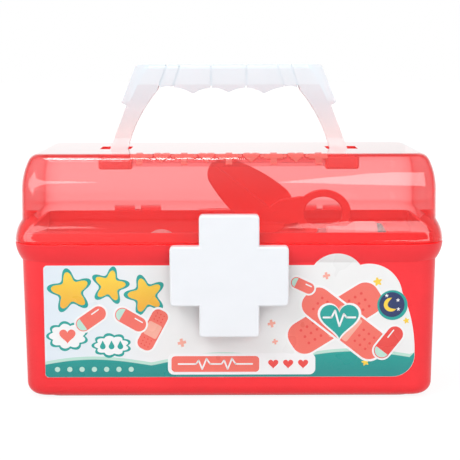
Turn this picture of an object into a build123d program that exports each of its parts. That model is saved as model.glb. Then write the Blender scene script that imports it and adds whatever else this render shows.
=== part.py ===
from build123d import *
import math
import os

# ---------------------------------------------------------------------------
# Toy doctor case.  Millimetres, +Z up, the front of the case faces -Y, the
# case stands on Z = 0 and is centred on X = 0, Y = 0.
# ---------------------------------------------------------------------------

# Rim shared by the tub and the lid
FLANGE_X = 122.5        # half width of the rim
FLANGE_Y = 66.0         # half depth of the rim
FLANGE_R = 20.5         # corner radius of the rim in plan
SEAM_Z = 90.0           # where the lid sits on the tub
RIM_EDGE = 0.8          # round on the two rims' outer edges

# Tub
DRAFT = 1.25            # mould draft of all the big walls, degrees
TUB_INSET = 4.1         # wall behind the rim, at the foot of the belt
TUB_R = 15.0
TUB_WALL = 2.6
TUB_FLOOR = 2.6
BELT_Z = 79.0
BOTTOM_FILLET = 7.0
FOOT_H = 1.2
FOOT_X, FOOT_Y, FOOT_R, FOOT_W = 107.0, 50.5, 10.0, 5.0
LIP_X, LIP_Y, LIP_R = 116.6, 60.1, 8.5
LIP_T = 1.6
LIP_TOP = 95.7

# Lid
LID_INSET = 3.95        # wall behind the rim, at the top of the flare
LID_LEAN = 0.15         # how much further in the wall is where its shoulder starts
LID_T = 1.8
LID_TOP = 140.0
FLARE_Z = 102.5
WALL_Z = 101.0          # top of the flare on the inside
SIDE_R, TOP_R = 38.3, 7.0       # the shoulder is a large arc and a small one
SHOULDER_DROP = 21.0    # the large arc starts this far below the top
CROWN_LAP = 0.3         # overlap of the flat top and the swept wall

# Handle pockets in the lid
POCKET_X0, POCKET_X1 = 58.2, 76.6
POCKET_Y = 12.0
POCKET_T = 1.0
POCKET_FLOOR = 128.9
POCKET_R = 1.2
POCKET_EDGE = 1.0       # bevel under the pockets
RIB_T = 1.4
RIB_BOTTOM = 129.8

# Carry handle
HANDLE_Z = 134.4        # pivot height
HUB_R = 4.2
HUB_X0, HUB_X1 = 60.3, 75.9
STUB_R = 2.2
RUN_FIT = 0.06          # radial clearance of every turning fit
LEG_Y = 4.0             # half thickness of the legs in the pockets
LEG_Z, GRIP_Z = 146.0, 178.0    # between these heights they widen to the grip
GRIP_Y = 8.4            # half thickness of the grip
GRIP_EDGE = 2.4
GRIP_TOP = 189.6
WING_Y = 7.0            # half thickness outside the crease of the wings
CORE_DEPTH = 0.7        # depth of the grooves across the grip
GROOVE_W = 1.2
FINGER_X = 21.0         # pitch of the finger arcs

# Lid hinge
HINGE_Y, HINGE_Z = 71.0, 91.5
HINGE_X = 59.0          # centre of each hinge
EAR_W = 13.0            # the lid's two ears, with the tub's tongue between them
EAR_GAP = 4.0
EAR_R = 4.0
TONGUE_W = 3.6
TONGUE_R = 3.9
HINGE_PIN_R = 1.6

# Cross clasp
CLASP_Y, CLASP_Z = -68.0, 43.0
CROSS_CZ = 73.0
CROSS_HW, CROSS_HH = 33.2, 34.4
CROSS_ARM = 16.8
CROSS_FRONT, CROSS_BACK = -75.0, -67.0
CROSS_T = 2.4
CROSS_RIB_T = 1.4       # square of ribs behind the cross
LUG_X0, LUG_X1 = 8.8, 12.0
LUG_R = 3.2
CLASP_PIN_R = 1.5
CATCH_Y = -66.4
CATCH_Z0, CATCH_Z1 = 101.5, 110.0
CATCH_HW = 17.0
NOSE_HW = 9.0
NOSE_Z0, NOSE_Z1 = 104.9, 106.7
NOSE_Y = -64.6
GROOVE_Y = -64.0

# Label on the front wall
LABEL_T = 0.2
LABEL_X0, LABEL_X1 = -105.0, 105.5
LABEL_Z0, LABEL_Z1 = 13.0, 77.6

# Tool tray inside the tub
TRAY_X0, TRAY_X1 = -64.0, 110.4
TRAY_Y = 54.0
TRAY_R = 9.0
TRAY_T = 1.6
TRAY_DECK = 50.0
WELL_T = 1.4

# Scissors, in their own plane: "a" runs towards the blade tips
SC_PIVOT_X, SC_PIVOT_Z = 30.8, 93.7
SC_LEAN = 38.0          # lean of the long axis above the horizontal
SC_Y0 = 44.4            # front face of the front half
SC_T = 3.0
SC_GAP = 0.2
SC_RING_A, SC_RING_N = -22.1, 19.1
SC_RING_LONG, SC_RING_SHORT = 17.7, 15.1
SC_HOLE_LONG, SC_HOLE_SHORT = 12.2, 10.5
SC_EDGE = 0.7
SLOT_L, SLOT_W = 20.0, 7.6      # slot in the tray that holds the lower ring
RIVET_R, RIVET_HEAD_R = 2.4, 3.6

# Medicine bottle and otoscope
BOTTLE_X, BOTTLE_Y = -40.0, -20.0
BOTTLE_R = 13.0
BOTTLE_Z = 47.0
BOTTLE_NECK_Z = 80.0
NECK_R = 8.4
CAP_R = 10.0
CAP_Z0, CAP_DOME_Z, CAP_TOP = 76.0, 85.4, 93.0
GRIP_NOTCHES = 20       # V notches round the skirt of the cap
GRIP_NOTCH_H = 8.0
OTO_X, OTO_Y, OTO_Z = 72.0, -22.0, 86.0
OTO_FOOT_Z = 36.0
OTO_HALF = 15.0         # half length of the head
OTO_R, OTO_LENS_R = 9.0, 11.7   # head at the cone's end and at the lens
OTO_HANDLE_R = 10.8
OTO_NECK_R = 6.0
OTO_COLLAR_W = 4.5
OTO_JOINT_Z = OTO_Z - OTO_LENS_R - 0.4    # the head stands on the handle here

os.makedirs("parts", exist_ok=True)


def save(shape, name):
    """Write one node as a single solid."""
    solid = shape.solids()[0] if len(shape.solids()) == 1 else shape
    print(f"{name:24s} solids {len(shape.solids())}  volume {shape.volume:9.1f}  valid {shape.is_valid}")
    export_step(solid, f"parts/{name}.step")


def slab(half_x, half_y, radius, z0, z1, draft=0.0):
    """Rounded rectangular block; a positive draft narrows it upwards."""
    plan = Pos(0, 0, z0) * RectangleRounded(2 * half_x, 2 * half_y, radius)
    return extrude(plan, z1 - z0, taper=draft)


def box(x0, x1, y0, y1, z0, z1):
    return Pos((x0 + x1) / 2, (y0 + y1) / 2, (z0 + z1) / 2) * Box(x1 - x0, y1 - y0, z1 - z0)


def bar_x(radius, x0, x1, y, z):
    """Round bar along X."""
    return Pos((x0 + x1) / 2, y, z) * Rot(0, 90, 0) * Cylinder(radius, x1 - x0)


def bar_y(radius, y0, y1, x, z):
    """Round bar along Y."""
    return Pos(x, (y0 + y1) / 2, z) * Rot(90, 0, 0) * Cylinder(radius, y1 - y0)


def plate_yz(points, x0, x1):
    """Extrude a polygon given as (y, z) from x0 to x1."""
    face = make_face(Polyline([(x0, y, z) for y, z in points], close=True))
    return extrude(face, x1 - x0, dir=(1, 0, 0))


def plate_xz(edges, y0, y1):
    """Extrude a closed outline in the XZ plane from y0 to y1."""
    face = make_face(edges)
    return extrude(Pos(0, y0, 0) * face, y1 - y0, dir=(0, 1, 0))


def closed_xz(points):
    return Polyline([(x, 0, z) for x, z in points], close=True)


def quarter(start, end, centre):
    """Arc between two points that lie at the same distance from the centre."""
    (x0, z0), (x1, z1), (cx, cz) = start, end, centre
    reach = math.hypot(x0 - cx, z0 - cz) / math.hypot(x0 + x1 - 2 * cx, z0 + z1 - 2 * cz)
    return ThreePointArc(start, (cx + (x0 + x1 - 2 * cx) * reach, cz + (z0 + z1 - 2 * cz) * reach), end)


def dome_arc(radius, z0, z1):
    """Arc of a dome that stands on a circle of this radius and ends on the axis."""
    rise = z1 - z0
    sphere = (radius ** 2 + rise ** 2) / (2 * rise)
    middle = (radius / 2, z1 - sphere + math.sqrt(sphere ** 2 - radius ** 2 / 4))
    return ThreePointArc((radius, z0), middle, (0, z1))


def band(edges):
    """Run a profile, drawn as (distance inside the rim, z), around the rim."""
    half_x, half_y, radius = FLANGE_X, FLANGE_Y, FLANGE_R
    path = RectangleRounded(2 * half_x, 2 * half_y, radius).wire()
    start = path @ 0
    tangent = path % 0
    inward = Vector(0, 0, 1).cross(tangent)
    if inward.dot(Vector(-start.X, -start.Y, 0)) < 0:
        inward = -inward
    plane = Plane(origin=start, x_dir=inward, z_dir=inward.cross(Vector(0, 0, 1)))
    return sweep(plane * make_face(edges), path=path)


# ---------------------------------------------------------------------------
# Tub
# ---------------------------------------------------------------------------

def tub_outer(grow=0.0):
    """Outer form of the tub: drafted walls, round bottom edge and the belt."""
    rise = BELT_Z - FOOT_H
    inset = rise * math.tan(math.radians(DRAFT))
    half_x = FLANGE_X - TUB_INSET - inset + grow
    half_y = FLANGE_Y - TUB_INSET - inset + grow
    body = slab(half_x, half_y, TUB_R - inset + grow, FOOT_H, SEAM_Z, -DRAFT)
    body = fillet(body.edges().group_by(Axis.Z)[0], BOTTOM_FILLET)
    foot_of_belt = TUB_INSET + 0.1 - grow
    edge_foot, edge_top = (-grow, SEAM_Z - RIM_EDGE), (RIM_EDGE - grow, SEAM_Z)
    outline = [
        ThreePointArc((foot_of_belt, BELT_Z), (1.25 - grow, 84.0), edge_foot),
        quarter(edge_foot, edge_top, (RIM_EDGE - grow, SEAM_Z - RIM_EDGE)),
        Line(edge_top, (6.0, SEAM_Z)),
        Line((6.0, SEAM_Z), (6.0, BELT_Z)),
        Line((6.0, BELT_Z), (foot_of_belt, BELT_Z)),
    ]
    return body + band(outline)


def base_shell():
    tub = tub_outer()
    tub += slab(LIP_X, LIP_Y, LIP_R, SEAM_Z - 3, LIP_TOP)
    tub += slab(FOOT_X, FOOT_Y, FOOT_R, 0, FOOT_H + 1)
    inner_x = FLANGE_X - TUB_INSET - TUB_WALL
    inner_y = FLANGE_Y - TUB_INSET - TUB_WALL
    floor_z = FOOT_H + TUB_FLOOR
    inset = (BELT_Z - floor_z) * math.tan(math.radians(DRAFT))
    cavity = slab(inner_x - inset, inner_y - inset, TUB_R - TUB_WALL - inset, floor_z, SEAM_Z - 3, -DRAFT)
    cavity = fillet(cavity.edges().group_by(Axis.Z)[0], BOTTOM_FILLET - TUB_FLOOR)
    tub -= cavity
    tub -= slab(LIP_X - LIP_T, LIP_Y - LIP_T, LIP_R - LIP_T, SEAM_Z - 3.5, LIP_TOP + 1)
    tub -= slab(FOOT_X - FOOT_W, FOOT_Y - FOOT_W, FOOT_R - FOOT_W, -1, FOOT_H)
    for side in (-1, 1):
        tub += hinge_tongue(side * HINGE_X)
        tub += clasp_lug(*sorted((side * LUG_X0, side * LUG_X1)))
    tub -= bar_x(CLASP_PIN_R, -LUG_X1 - 1, LUG_X1 + 1, CLASP_Y, CLASP_Z)
    return tub


def hinge_tongue(centre):
    """Knuckle behind the tub's rim that holds the hinge pin."""
    outline = [(62.5, 80.0), (66.4, 80.6), (73.6, 88.6), (HINGE_Y, HINGE_Z), (67.1, HINGE_Z),
               (67.1, 89.4), (62.5, 89.4)]
    x0, x1 = centre - TONGUE_W / 2, centre + TONGUE_W / 2
    tongue = plate_yz(outline, x0, x1) + bar_x(TONGUE_R, x0, x1, HINGE_Y, HINGE_Z)
    return tongue - bar_x(HINGE_PIN_R, x0 - 1, x1 + 1, HINGE_Y, HINGE_Z)


def clasp_lug(x0, x1):
    """Small lug on the front wall that carries the clasp pin."""
    outline = [(-60.4, 39.2), (-66.8, 40.1), (-66.6, 45.9), (-60.4, 48.5)]
    return plate_yz(outline, x0, x1) + bar_x(LUG_R, x0, x1, CLASP_Y, CLASP_Z)


def front_label():
    """Die-cut sticker that follows the front wall and the belt."""
    outline = [
        Line((LABEL_X0 + 2, LABEL_Z1), (48, LABEL_Z1)),
        ThreePointArc((48, LABEL_Z1), (61, 84.6), (74, LABEL_Z1)),
        ThreePointArc((74, LABEL_Z1), (89, 75.6), (98, 62)),
        ThreePointArc((98, 62), (103.6, 45), (LABEL_X1, 27)),
        ThreePointArc((LABEL_X1, 27), (102.4, 17.2), (93, LABEL_Z0)),
        Line((93, LABEL_Z0), (LABEL_X0 + 2, LABEL_Z0)),
        ThreePointArc((LABEL_X0 + 2, LABEL_Z0), (LABEL_X0 + 0.6, LABEL_Z0 + 0.6), (LABEL_X0, LABEL_Z0 + 2)),
        Line((LABEL_X0, LABEL_Z0 + 2), (LABEL_X0, LABEL_Z1 - 2)),
        ThreePointArc((LABEL_X0, LABEL_Z1 - 2), (LABEL_X0 + 0.6, LABEL_Z1 - 0.6), (LABEL_X0 + 2, LABEL_Z1)),
    ]
    prism = extrude(Pos(0, -80, 0) * (Plane.XZ * make_face(outline)), -30)
    skin = tub_outer(LABEL_T) - tub_outer()
    label = skin & prism
    for side in (-1, 1):
        label -= box(*sorted((side * (LUG_X0 - 0.4), side * (LUG_X1 + 0.4))), -70, -55, 38.8, 49.5)
    return label


# ---------------------------------------------------------------------------
# Lid
# ---------------------------------------------------------------------------

def shoulder(thick=0.0):
    """The two tangent arcs of the shoulder; thick gives the inside of the wall."""
    wall, side_z, top_z = LID_INSET + LID_LEAN, LID_TOP - SHOULDER_DROP, LID_TOP - TOP_R
    run = SIDE_R - math.sqrt((SIDE_R - TOP_R) ** 2 - (top_z - side_z) ** 2)
    turn = math.atan2(top_z - side_z, SIDE_R - run)

    def arc(centre_x, centre_z, radius, angles):
        return ThreePointArc(*[(centre_x - (radius - thick) * math.cos(angle),
                                centre_z + (radius - thick) * math.sin(angle)) for angle in angles])

    side = arc(wall + SIDE_R, side_z, SIDE_R, (0, turn / 2, turn))
    top = arc(wall + run, top_z, TOP_R, (turn, (turn + math.pi / 2) / 2, math.pi / 2))
    return side, top


def lid_wall():
    """Flared rim, wall and shoulder as one profile run round the rim, and how far in it ends."""
    side, top = shoulder()
    inner_side, inner_top = shoulder(LID_T)
    crown = (top @ 1).X + 2 * CROWN_LAP
    edge_foot, edge_top = (RIM_EDGE, SEAM_Z), (0, SEAM_Z + RIM_EDGE)
    rim_in, flare_foot = 2.2, SEAM_Z + 1.4
    outline = [
        quarter(edge_foot, edge_top, (RIM_EDGE, SEAM_Z + RIM_EDGE)),
        Line(edge_top, (0, flare_foot)),
        ThreePointArc((0, flare_foot), (1.15, 97.0), (LID_INSET, FLARE_Z)),
        Line((LID_INSET, FLARE_Z), side @ 0),
        side,
        top,
        Line(top @ 1, (crown, LID_TOP)),
        Line((crown, LID_TOP), (crown, LID_TOP - LID_T)),
        Line((crown, LID_TOP - LID_T), inner_top @ 1),
        inner_top,
        inner_side,
        Line(inner_side @ 0, (LID_INSET + LID_T, WALL_Z)),
        ThreePointArc((LID_INSET + LID_T, WALL_Z), (3.0, 96.4), (rim_in, flare_foot)),
        Line((rim_in, flare_foot), (rim_in, SEAM_Z)),
        Line((rim_in, SEAM_Z), edge_foot),
    ]
    return band(outline), crown - CROWN_LAP


def lid_shell():
    lid, crown = lid_wall()
    lid += slab(FLANGE_X - crown, FLANGE_Y - crown, FLANGE_R - crown, LID_TOP - LID_T, LID_TOP)
    for side in (-1, 1):
        x0, x1 = sorted((side * POCKET_X0, side * POCKET_X1))
        centre, width = (x0 + x1) / 2, x1 - x0
        cup = Pos(centre, 0, POCKET_FLOOR - POCKET_T) * RectangleRounded(
            width + 2 * POCKET_T, 2 * (POCKET_Y + POCKET_T), POCKET_R + POCKET_T)
        cup = extrude(cup, LID_TOP - LID_T / 2 - POCKET_FLOOR + POCKET_T)
        lid += chamfer(cup.edges().group_by(Axis.Z)[0], POCKET_EDGE)
        hole = Pos(centre, 0, POCKET_FLOOR) * RectangleRounded(width, 2 * POCKET_Y, POCKET_R)
        lid -= extrude(hole, LID_TOP)
        lid += box(-POCKET_X0 + 1, POCKET_X0 - 1, side * 12.9 - RIB_T / 2, side * 12.9 + RIB_T / 2,
                   RIB_BOTTOM, LID_TOP - LID_T / 2)
        for edge in (-1, 1):
            near = side * HINGE_X + edge * EAR_GAP / 2
            lid += hinge_ear(*sorted((near, near + edge * EAR_W)))
    for side in (-1, 1):
        lid -= bar_x(STUB_R + RUN_FIT, *sorted((side * (POCKET_X0 - 4), side * (POCKET_X1 + 4))), 0, HANDLE_Z)
    lid += clasp_catch()
    lid -= box(-NOSE_HW - 1, NOSE_HW + 1, CATCH_Y - 1, GROOVE_Y, NOSE_Z0 - 0.5, NOSE_Z1 + 0.6)
    return lid


def hinge_ear(x0, x1):
    """Knuckle on the lid's flare that turns on the hinge pin."""
    outline = [(64.7, 91.2), (62.7, 99.6), (HINGE_Y + 1.2, HINGE_Z + 3.8), (HINGE_Y, HINGE_Z), (67.2, 90.6)]
    ear = plate_yz(outline, x0, x1) + bar_x(EAR_R, x0, x1, HINGE_Y, HINGE_Z)
    return ear - bar_x(HINGE_PIN_R + RUN_FIT, x0 - 1, x1 + 1, HINGE_Y, HINGE_Z)


def clasp_catch():
    """Pad on the front of the lid with the groove that the clasp's nose drops into."""
    pad = box(-CATCH_HW, CATCH_HW, CATCH_Y, -61.2, CATCH_Z0, CATCH_Z1)
    return chamfer(pad.edges().group_by(Axis.Y)[0].filter_by(Axis.X).sort_by(Axis.Z)[-1:], 1.6)


# ---------------------------------------------------------------------------
# Carry handle
# ---------------------------------------------------------------------------

def mirrored(shape):
    return shape + mirror(shape, Plane.YZ)


def handle_front():
    """Outline of the handle seen from the front, as (x, z)."""
    half = make_face([
        Line((0, GRIP_TOP), (53.4, GRIP_TOP)),
        ThreePointArc((53.4, GRIP_TOP), (54.9, 189.1), (55.8, 187.6)),
        Line((55.8, 187.6), (63.9, 167.3)),
        Line((63.9, 167.3), (60.9, 165.6)),
        Line((60.9, 165.6), (70.9, 139.8)),
        Line((70.9, 139.8), (70.9, HANDLE_Z)),
        Line((70.9, HANDLE_Z), (60.6, HANDLE_Z)),
        Line((60.6, HANDLE_Z), (60.8, 138.4)),
        ThreePointArc((60.8, 138.4), (54.3, 156.6), (41.7, 175.4)),
        ThreePointArc((41.7, 175.4), (38.0, 176.9), (33.2, 176.5)),
        ThreePointArc((33.2, 176.5), (26.5, 175.0), (FINGER_X, 172.4)),
        ThreePointArc((FINGER_X, 172.4), (FINGER_X / 2, 176.0), (0, 173.1)),
        Line((0, 173.1), (0, GRIP_TOP)),
    ])
    outline = half + mirror(half, Plane.YZ)
    finger_tips = [v for v in outline.vertices() if v.Y < 173.5 and abs(v.X) < FINGER_X + 1]
    return fillet(finger_tips, 2.0)


def handle_end():
    """Outline of the handle seen from its end, as (y, z): the legs widen into the grip."""
    half = [(0, HANDLE_Z), (LEG_Y, HANDLE_Z), (LEG_Y, LEG_Z),
            (GRIP_Y, GRIP_Z), (GRIP_Y, GRIP_TOP), (0, GRIP_TOP)]
    side = make_face(Polyline(half, close=True))
    side += mirror(side, Plane.YZ)
    return fillet(side.vertices().group_by(Axis.Y)[-1], GRIP_EDGE)


def grip_groove(foot, head):
    """Slab across the grip between two points (x, z) of its middle line."""
    (x0, z0), (x1, z1) = foot, head
    half = GROOVE_W / 2
    strip = Polyline([(x0 - half, z0), (x0 + half, z0), (x1 + half, z1), (x1 - half, z1)], close=True)
    return extrude(Plane.XZ * make_face(strip), GRIP_Y + 1, both=True)


def carry_handle():
    handle = extrude(Plane.XZ * handle_front(), GRIP_Y, both=True)
    handle &= extrude(Plane.YZ * handle_end(), FLANGE_X, both=True)
    wing = Plane.XZ * make_face(Polyline(
        [(45.2, 191.0), (51.0, 184.0), (60.2, 165.2), (67.0, 165.2), (67.0, 191.0)], close=True))
    step = extrude(wing, GRIP_Y + 1, both=True) - extrude(wing, WING_Y, both=True)
    handle -= mirrored(step)
    grooves = [((FINGER_X / 2, 170.0), (FINGER_X / 2, 191.0)),
               ((34.8, 172.0), (28.2, 191.0)),
               ((42.8, 172.0), (36.4, 191.0))]
    for foot, head in grooves:
        handle -= mirrored(grip_groove(foot, head))
    core = GRIP_Y - CORE_DEPTH
    handle += box(-43.0, 43.0, -core, core, 177.2, GRIP_TOP - CORE_DEPTH)
    hub = bar_x(HUB_R, HUB_X0, HUB_X1, 0, HANDLE_Z)
    hub += bar_x(STUB_R, POCKET_X0 - POCKET_T, POCKET_X1 + POCKET_T, 0, HANDLE_Z)
    return handle + mirrored(hub)


# ---------------------------------------------------------------------------
# Cross clasp
# ---------------------------------------------------------------------------

def cross_outline(shrink, corner):
    """Cross with round outer corners, in the XZ plane."""
    wide, tall, arm = CROSS_HW - shrink, CROSS_HH - shrink, CROSS_ARM - shrink
    sketch = Rectangle(2 * wide, 2 * arm) + Rectangle(2 * arm, 2 * tall)
    outer = [v for v in sketch.vertices() if max(abs(v.X) / wide, abs(v.Y) / tall) > 0.99]
    return fillet(outer, corner)


def cross_prism(shrink, corner, y0, y1):
    """Stand the cross upright and give it a thickness from y0 back to y1."""
    face = Plane(origin=(0, y0, CROSS_CZ), x_dir=(1, 0, 0), z_dir=(0, -1, 0)) * cross_outline(shrink, corner)
    return extrude(face, y1 - y0, dir=(0, 1, 0))


def cross_clasp():
    clasp = cross_prism(0, 2.2, CROSS_FRONT, CROSS_BACK)
    clasp = fillet(clasp.edges().group_by(Axis.Y)[0], 1.2)
    clasp -= cross_prism(CROSS_T - 0.2, 0.8, CROSS_FRONT + CROSS_T, CROSS_BACK + 1)
    back = CROSS_FRONT + CROSS_T
    rib, half = CROSS_ARM - 1, CROSS_RIB_T / 2
    for side in (-rib, rib):
        clasp += box(side - half, side + half, back - 0.5, back + 3, CROSS_CZ - rib, CROSS_CZ + rib)
        clasp += box(-rib, rib, back - 0.5, back + 3, CROSS_CZ + side - half, CROSS_CZ + side + half)
    for side in (-1, 1):
        x0, x1 = sorted((side * (LUG_X1 + 0.3), side * (CROSS_ARM - 1)))
        clasp += box(x0, x1, back - 0.5, CLASP_Y, CLASP_Z - LUG_R, CLASP_Z + LUG_R)
        clasp += bar_x(LUG_R, x0, x1, CLASP_Y, CLASP_Z)
    clasp -= bar_x(CLASP_PIN_R + RUN_FIT, -CROSS_ARM + 1.6, CROSS_ARM - 1.6, CLASP_Y, CLASP_Z)
    clasp += box(-NOSE_HW, NOSE_HW, CROSS_BACK - 4, NOSE_Y, NOSE_Z0, NOSE_Z1)
    for side in (-1, 1):
        x0, x1 = sorted((side * (LUG_X0 - 0.4), side * (LUG_X1 + 0.3)))
        clasp -= box(x0, x1, back, CROSS_BACK + 1, CROSS_CZ - CROSS_HH - 1, CLASP_Z - LUG_R + 1.2)
    return clasp


# ---------------------------------------------------------------------------
# Contents: tray, scissors, bottle and otoscope
# ---------------------------------------------------------------------------

def scissors_plane(y):
    lean = math.radians(SC_LEAN)
    along = (-math.cos(lean), 0, math.sin(lean))
    return Plane(origin=(SC_PIVOT_X, y, SC_PIVOT_Z), x_dir=along, z_dir=(0, 1, 0))


def scissors_half(flip):
    """One half in local (a, n): its blade lies on the other side of its ring."""
    back = -flip
    blade = make_face([
        Line((-6, -1.2 * back), (53.4, -1.2 * back)),
        ThreePointArc((53.4, -1.2 * back), (52.4, 4.6 * back), (47.6, 9.4 * back)),
        ThreePointArc((47.6, 9.4 * back), (29, 14.8 * back), (8, 16.6 * back)),
        ThreePointArc((8, 16.6 * back), (-3.4, 12.4 * back), (-8.2, 3.0 * back)),
        Line((-8.2, 3.0 * back), (-6, -1.2 * back)),
    ])
    outer, hole = Ellipse(SC_RING_LONG, SC_RING_SHORT), Ellipse(SC_HOLE_LONG, SC_HOLE_SHORT)
    ring = Pos(SC_RING_A, SC_RING_N * flip) * Rot(0, 0, 180 - SC_LEAN * flip) * (outer - hole)
    corners = [(9.0, -3.0), (5.0, 9.0), (-3.6, 18.4), (-9.0, 22.0), (-14.0, 5.4), (-4.0, -5.0)]
    shank = make_face(Polyline([(a, n * flip) for a, n in corners], close=True))
    return blade + ring + shank


def scissors_solid(flip, y):
    half = extrude(scissors_plane(y) * scissors_half(flip), SC_T)
    faces = half.edges().group_by(Axis.Y)
    half = chamfer(faces[0 if flip > 0 else -1], SC_EDGE)
    return half


def scissors_blade_front():
    half = scissors_solid(1, SC_Y0)
    return half - bar_y(RIVET_R + RUN_FIT, SC_Y0 - 1, SC_Y0 + SC_T + 1, SC_PIVOT_X, SC_PIVOT_Z)


def scissors_blade_rear():
    y0 = SC_Y0 + SC_T + SC_GAP
    half = scissors_solid(-1, y0)
    return half - bar_y(RIVET_R, y0 - 1, y0 + SC_T + 1, SC_PIVOT_X, SC_PIVOT_Z)


def scissors_rivet():
    y1 = SC_Y0 + 2 * SC_T + SC_GAP
    rivet = bar_y(RIVET_R, SC_Y0 - 0.3, y1 + 0.1, SC_PIVOT_X, SC_PIVOT_Z)
    rivet += bar_y(RIVET_HEAD_R, SC_Y0 - 1.4, SC_Y0 - 0.2, SC_PIVOT_X, SC_PIVOT_Z)
    rivet += bar_y(RIVET_HEAD_R, y1, y1 + 1.2, SC_PIVOT_X, SC_PIVOT_Z)
    return rivet


def ring_foot():
    """Lowest point of the lower finger ring, where it stands in the tray."""
    lean, turn = math.radians(SC_LEAN), math.radians(2 * SC_LEAN)
    reach = math.hypot(SC_RING_LONG * math.sin(turn), SC_RING_SHORT * math.cos(turn))
    shift = (SC_RING_LONG ** 2 - SC_RING_SHORT ** 2) * math.sin(turn) * math.cos(turn) / reach
    x = SC_PIVOT_X - SC_RING_A * math.cos(lean) - SC_RING_N * math.sin(lean) + shift
    z = SC_PIVOT_Z + SC_RING_A * math.sin(lean) - SC_RING_N * math.cos(lean) - reach
    return x, z


def well(sketch_of, depth):
    """Cup hanging from the tray deck; returns what is added and what is cut."""
    added = extrude(Pos(0, 0, TRAY_DECK - depth - WELL_T) * sketch_of(WELL_T), depth + WELL_T - TRAY_T / 2)
    cut = extrude(Pos(0, 0, TRAY_DECK - depth) * sketch_of(0), depth + 1)
    return added, cut


def tool_tray():
    floor_z = FOOT_H + TUB_FLOOR
    cx, half_x = (TRAY_X0 + TRAY_X1) / 2, (TRAY_X1 - TRAY_X0) / 2
    fall = (TRAY_DECK - floor_z) * math.tan(math.radians(DRAFT))
    plan = Pos(cx, 0, TRAY_DECK) * RectangleRounded(2 * half_x, 2 * TRAY_Y, TRAY_R)
    tray = extrude(plan, -(TRAY_DECK - floor_z), taper=DRAFT)
    tray = fillet(tray.edges().group_by(Axis.Z)[-1], 2.4)
    hollow = Pos(cx, 0, floor_z - 1) * RectangleRounded(
        2 * (half_x - fall - TRAY_T), 2 * (TRAY_Y - fall - TRAY_T), TRAY_R - TRAY_T - fall)
    tray -= extrude(hollow, TRAY_DECK - TRAY_T - floor_z + 1, taper=-DRAFT)
    foot_x, foot_z = ring_foot()
    slot_y = SC_Y0 + SC_T + SC_GAP / 2
    wells = [
        well(lambda t: Pos(BOTTLE_X, BOTTLE_Y) * Circle(BOTTLE_R + 0.5 + t), TRAY_DECK - BOTTLE_Z),
        well(lambda t: Pos(OTO_X, OTO_Y) * Circle(OTO_HANDLE_R + 0.5 + t), TRAY_DECK - OTO_FOOT_Z),
        well(lambda t: Pos(foot_x, slot_y) * RectangleRounded(SLOT_L + 2 * t, SLOT_W + 2 * t, 2 + t),
             TRAY_DECK - foot_z),
    ]
    for added, cut in wells:
        tray += added
    for added, cut in wells:
        tray -= cut
    return tray


def medicine_bottle():
    z0, wall = BOTTLE_Z, 1.4
    outer = Polyline((0, z0), (BOTTLE_R - 1.2, z0), (BOTTLE_R, z0 + 1.2), (BOTTLE_R, z0 + 22),
                     (BOTTLE_R - 1.0, z0 + 24.5), (NECK_R, z0 + 28.0), (NECK_R, BOTTLE_NECK_Z),
                     (0, BOTTLE_NECK_Z), close=True)
    inner = Polyline((0, z0 + wall), (BOTTLE_R - wall, z0 + wall), (BOTTLE_R - wall, z0 + 21.6),
                     (NECK_R - wall, z0 + 27.2), (NECK_R - wall, BOTTLE_NECK_Z + 1),
                     (0, BOTTLE_NECK_Z + 1), close=True)
    body = revolve(Plane.XZ * make_face(outer), Axis.Z) - revolve(Plane.XZ * make_face(inner), Axis.Z)
    return Pos(BOTTLE_X, BOTTLE_Y, 0) * body


def bottle_cap():
    outer = make_face([
        Line((0, CAP_Z0), (CAP_R, CAP_Z0)),
        Line((CAP_R, CAP_Z0), (CAP_R, CAP_DOME_Z)),
        dome_arc(CAP_R, CAP_DOME_Z, CAP_TOP),
        Line((0, CAP_TOP), (0, CAP_Z0)),
    ])
    cap = revolve(Plane.XZ * outer, Axis.Z)
    cap -= Pos(0, 0, CAP_Z0 - 1) * Cylinder(
        NECK_R, BOTTLE_NECK_Z - CAP_Z0 + 1, align=(Align.CENTER, Align.CENTER, Align.MIN))
    notch = Pos(CAP_R + 0.3, 0, CAP_Z0 + GRIP_NOTCH_H / 2 - 1) * Rot(0, 0, 45) * Box(1.3, 1.3, GRIP_NOTCH_H)
    for i in range(GRIP_NOTCHES):
        cap -= Rot(0, 0, i * 360 / GRIP_NOTCHES) * notch
    return Pos(BOTTLE_X, BOTTLE_Y, 0) * cap


def otoscope_handle():
    """Round battery handle, waisted under the head."""
    profile = make_face([
        Line((0, OTO_FOOT_Z), (9.4, OTO_FOOT_Z)),
        Line((9.4, OTO_FOOT_Z), (OTO_HANDLE_R, OTO_FOOT_Z + 1.4)),
        Line((OTO_HANDLE_R, OTO_FOOT_Z + 1.4), (OTO_HANDLE_R - 0.4, 62.0)),
        ThreePointArc((OTO_HANDLE_R - 0.4, 62.0), (8.8, 67.4), (OTO_NECK_R, OTO_JOINT_Z)),
        Line((OTO_NECK_R, OTO_JOINT_Z), (0, OTO_JOINT_Z)),
        Line((0, OTO_JOINT_Z), (0, OTO_FOOT_Z)),
    ])
    return Pos(OTO_X, OTO_Y, 0) * revolve(Plane.XZ * profile, Axis.Z)


def otoscope_part(edges, x):
    """Turn a profile, drawn as (radius, distance to the right of x), about the head's axis."""
    return Pos(x, OTO_Y, OTO_Z) * Rot(0, 90, 0) * revolve(Plane.XZ * make_face(edges), Axis.Z)


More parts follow.
